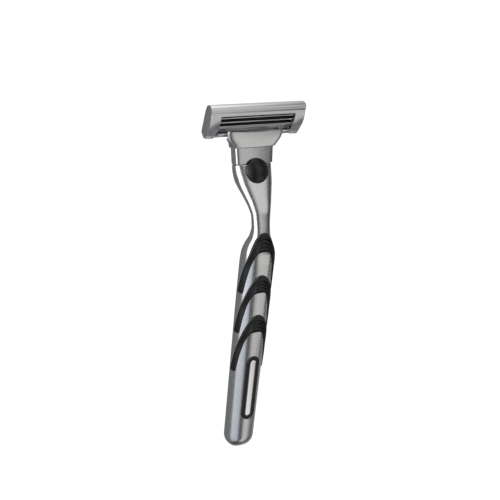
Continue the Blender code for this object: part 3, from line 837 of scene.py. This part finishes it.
# ---------------------------------------------------------------- blade supports and blades
# Each blade is a ribbon of hardened stainless steel with a ground edge, welded on a bent strip
# whose leg stands back into the window. The strips are painted near black as painted shade in
# the window's slots, and their faces that turn to the back get a bright painted highlight.

# Painted shade: the support strips are near black so that the window's slots read as shaded.
support_painted_shade = Finish("support_steel_painted_shade", (0.02, 0.02, 0.022), 0.45, 0.5)
support_shade_lines = support_painted_shade.grain(0.08, (30.0, 1.0, 1.0))
support_painted_shade.tint(support_shade_lines, 0.8, 1.25)
support_painted_shade.gloss(support_shade_lines, 0.06)
support_painted_shade.relief(support_shade_lines, 0.003, 0.3)
# Painted highlight: a bright steel for the support faces that turn to the back, as if lit.
support_painted_highlight = Finish("support_edge_painted_highlight", (0.62, 0.62, 0.63), 0.38, 1.0)
support_highlight_lines = support_painted_highlight.grain(0.06, (1.0, 8.0, 8.0))
support_painted_highlight.tint(support_highlight_lines, 0.9, 1.08)
support_painted_highlight.gloss(support_highlight_lines, 0.06)
support_painted_highlight.relief(support_highlight_lines, 0.004, 0.3)
ground = Finish("blade_steel", (0.70, 0.71, 0.72), 0.24, 1.0)
grind_lines = ground.grain(0.05, (1.0, 12.0, 12.0))
ground.tint(grind_lines, 0.9, 1.06)
ground.gloss(grind_lines, 0.05)
ground.relief(grind_lines, 0.003, 0.3)
BLADE_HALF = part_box("blade_1")[1].x / MM
back_faces_out = Vector((0.0, -cos(HEAD_TILT), -sin(HEAD_TILT)))
for number, edge in enumerate(BLADE_EDGES, 1):
    support = head_bar(support_outline(edge, 0.45), -17.0, 17.0, f"support_strip_{number}")
    soften(support, 0.05, 2, 50.0)
    faired(support, 50.0)
    fit(support, "head", "bracket_steel", support_painted_shade.material, f"blade_support_{number}")
    support.data.materials.append(support_painted_highlight.material)
    # The faces that turn to the back take the painted highlight, and the rest keep the painted
    # shade.
    for face in support.data.polygons:
        if face.normal.dot(back_faces_out) > 0.5:
            face.material_index = 1
    section = [(edge - 1.4, -0.08), (edge - 0.2, 0.33), (edge, 0.48), (edge - 0.35, 0.46),
               (edge - 0.6, 0.38), (edge - 1.45, 0.05)]
    blade = head_bar(section, -BLADE_HALF, BLADE_HALF, f"blade_ribbon_{number}")
    faired(blade, 12.0)
    fit(blade, "head", "blade_steel", ground.material, f"blade_{number}")


# ---------------------------------------------------------------- retaining clips
# Two bands of soft aluminium are wrapped over the blades' ends and clinched under the frame to
# hold the blades in.

clip_metal = Finish("clip_aluminium", (0.68, 0.69, 0.70), 0.3, 1.0)
clip_lines = clip_metal.grain(0.07, (1.0, 10.0, 10.0))
clip_metal.tint(clip_lines, 0.92, 1.06)
clip_metal.gloss(clip_lines, 0.05)
clip_metal.relief(clip_lines, 0.003, 0.3)
for word in ("left", "right"):
    clip_low, clip_high = (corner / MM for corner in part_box(f"retaining_clip_{word}"))
    section = [(3.95, 0.75), (3.95, 1.15), (11.65, 0.95), (11.65, -1.4), (11.4, -1.4), (11.4, 0.7)]
    clip = head_bar(section, clip_low.x, clip_high.x, f"clip_band_{word}")
    soften(clip, 0.1, 3, 40.0)
    faired(clip, 40.0)
    fit(clip, "head", "clip_aluminium", clip_metal.material, f"retaining_clip_{word}")


# ---------------------------------------------------------------- studio
# A plain pale floor well below the hanging razor, a plain white sky that lights it evenly, and
# soft panels all round that show only in what the surfaces mirror.

scene = bpy.context.scene
scene.view_settings.view_transform = "Standard"

FLOOR_DROP = 60.0
floor_mesh = bpy.data.meshes.new("floor")
span, level = 20.0, (handle_low.z - FLOOR_DROP) * MM
floor_mesh.from_pydata([(-span, -span, level), (span, -span, level), (span, span, level),
                        (-span, span, level)], [], [(0, 1, 2, 3)])
floor = bpy.data.objects.new("floor", floor_mesh)
scene.collection.objects.link(floor)
floor_finish = Finish("floor_white", (0.93, 0.93, 0.93), 0.9)
floor_finish.shader.inputs["Specular IOR Level"].default_value = 0.0
floor_finish.tint(floor_finish.grain(40.0), 0.995, 1.005)
floor.data.materials.append(floor_finish.material)
floor.visible_glossy = False

world = bpy.data.worlds.new("studio")
scene.world = world
world.use_nodes = True
world.cycles.sampling_method = "NONE"
sky = world.node_tree
sky.nodes.clear()


def sky_node(kind, **settings):
    made = sky.nodes.new(kind)
    for name, value in settings.items():
        setattr(made, name, value)
    return made


def sky_math(operation, first, second=None, third=None):
    made = sky_node("ShaderNodeMath", operation=operation)
    for socket, value in zip(made.inputs, (first, second, third)):
        if isinstance(value, (int, float)):
            socket.default_value = value
        elif value is not None:
            sky.links.new(value, socket)
    return made.outputs[0]


ray = sky_node("ShaderNodeTexCoord").outputs["Generated"]
parts = sky_node("ShaderNodeSeparateXYZ")
sky.links.new(ray, parts.inputs[0])
# Bearing in degrees from the razor's front towards -X, and height as the sine of elevation
bearing = sky_math("MULTIPLY", sky_math("ARCTAN2", sky_math("MULTIPLY", parts.outputs["X"], -1.0),
                                        sky_math("MULTIPLY", parts.outputs["Y"], -1.0)), 180 / pi)
height = parts.outputs["Z"]


def rise(value, low, high):
    """0 below low, 1 above high, with a soft step between."""
    made = sky_node("ShaderNodeMapRange", interpolation_type="SMOOTHERSTEP")
    sky.links.new(value, made.inputs["Value"])
    made.inputs["From Min"].default_value = low
    made.inputs["From Max"].default_value = high
    return made.outputs["Result"]


def panel(left, right, bottom, top, edge, strength, colour=(1.0, 1.0, 1.0)):
    """A soft panel between two bearings and two elevations, in degrees."""
    sides = sky_math("MULTIPLY", rise(bearing, left - edge, left + edge),
                     sky_math("SUBTRACT", 1.0, rise(bearing, right - edge, right + edge)))
    low, high = sin(radians(bottom)), sin(radians(top))
    soft = sin(radians(edge))
    ends = sky_math("MULTIPLY", rise(height, low - soft, low + soft),
                    sky_math("SUBTRACT", 1.0, rise(height, high - soft, high + soft)))
    amount = sky_math("MULTIPLY", sky_math("MULTIPLY", sides, ends), strength)
    tinted = sky_node("ShaderNodeVectorMath", operation="SCALE")
    tinted.inputs[0].default_value = colour
    sky.links.new(amount, tinted.inputs["Scale"])
    return tinted.outputs[0]


# Left, right, bottom, top, soft edge, strength, and colour where it is not white
PANELS = (
    (14.0, 95.0, -60.0, -24.0, 4.0, 0.6, (0.93, 0.98, 1.10)),
    (20.0, 90.0, -22.0, 60.0, 4.0, 2.4),
    (-49.0, -22.0, -60.0, -32.0, 3.0, 0.85, (1.0, 0.98, 0.95)),
    (-60.0, -5.0, -70.0, -50.0, 4.0, 0.28, (0.96, 0.99, 1.04)),
    (-66.0, -12.0, -30.0, -18.0, 2.0, 0.95, (1.0, 0.98, 0.93)),
    (-35.0, -14.0, -16.0, -2.0, 4.0, 0.75),
    (-50.0, -14.0, 0.0, 46.0, 6.0, 0.92, (1.0, 0.985, 0.96)),
    (95.0, 175.0, -60.0, 60.0, 8.0, 0.16),
    (-172.0, -112.0, -65.0, 60.0, 9.0, 0.6),
    (-100.0, -86.0, -65.0, 60.0, 4.0, 0.35),
)
BETWEEN_PANELS = 0.06
OVERHEAD = 1.5
SKY_STRENGTH = 1.45
base = sky_node("ShaderNodeCombineXYZ")
for socket in base.inputs:
    socket.default_value = BETWEEN_PANELS
total = base.outputs[0]
for values in PANELS:
    added = sky_node("ShaderNodeVectorMath", operation="ADD")
    sky.links.new(total, added.inputs[0])
    sky.links.new(panel(*values), added.inputs[1])
    total = added.outputs[0]
overhead = sky_node("ShaderNodeVectorMath", operation="ADD")
sky.links.new(total, overhead.inputs[0])
sky.links.new(sky_math("MULTIPLY", rise(height, sin(radians(50.0)), sin(radians(60.0))), OVERHEAD),
              overhead.inputs[1])
mirrored = sky_node("ShaderNodeBackground")
sky.links.new(overhead.outputs[0], mirrored.inputs["Color"])
plain = sky_node("ShaderNodeBackground")
plain.inputs["Strength"].default_value = SKY_STRENGTH
choice = sky_node("ShaderNodeMixShader")
sky.links.new(sky_node("ShaderNodeLightPath").outputs["Is Glossy Ray"], choice.inputs[0])
sky.links.new(plain.outputs[0], choice.inputs[1])
sky.links.new(mirrored.outputs[0], choice.inputs[2])
sky.links.new(choice.outputs[0], sky_node("ShaderNodeOutputWorld").inputs["Surface"])

BEARING, ELEVATION = radians(32.9), radians(11.3)
AIM = Vector((0.0, 0.0008, -0.0444))
DISTANCE = 0.456
LENS = 84.96
camera_data = bpy.data.cameras.new("camera")
camera_data.lens = LENS
camera_data.sensor_width = 36.0
camera_data.clip_start = 0.01
camera = bpy.data.objects.new("camera", camera_data)
scene.collection.objects.link(camera)
right = Vector((cos(BEARING), -sin(BEARING), 0.0))
ahead = Vector((sin(BEARING) * cos(ELEVATION), cos(BEARING) * cos(ELEVATION), -sin(ELEVATION)))
up = right.cross(ahead)
place = Matrix((right, up, -ahead)).transposed().to_4x4()
place.translation = AIM - ahead * DISTANCE
camera.matrix_world = place
scene.camera = camera
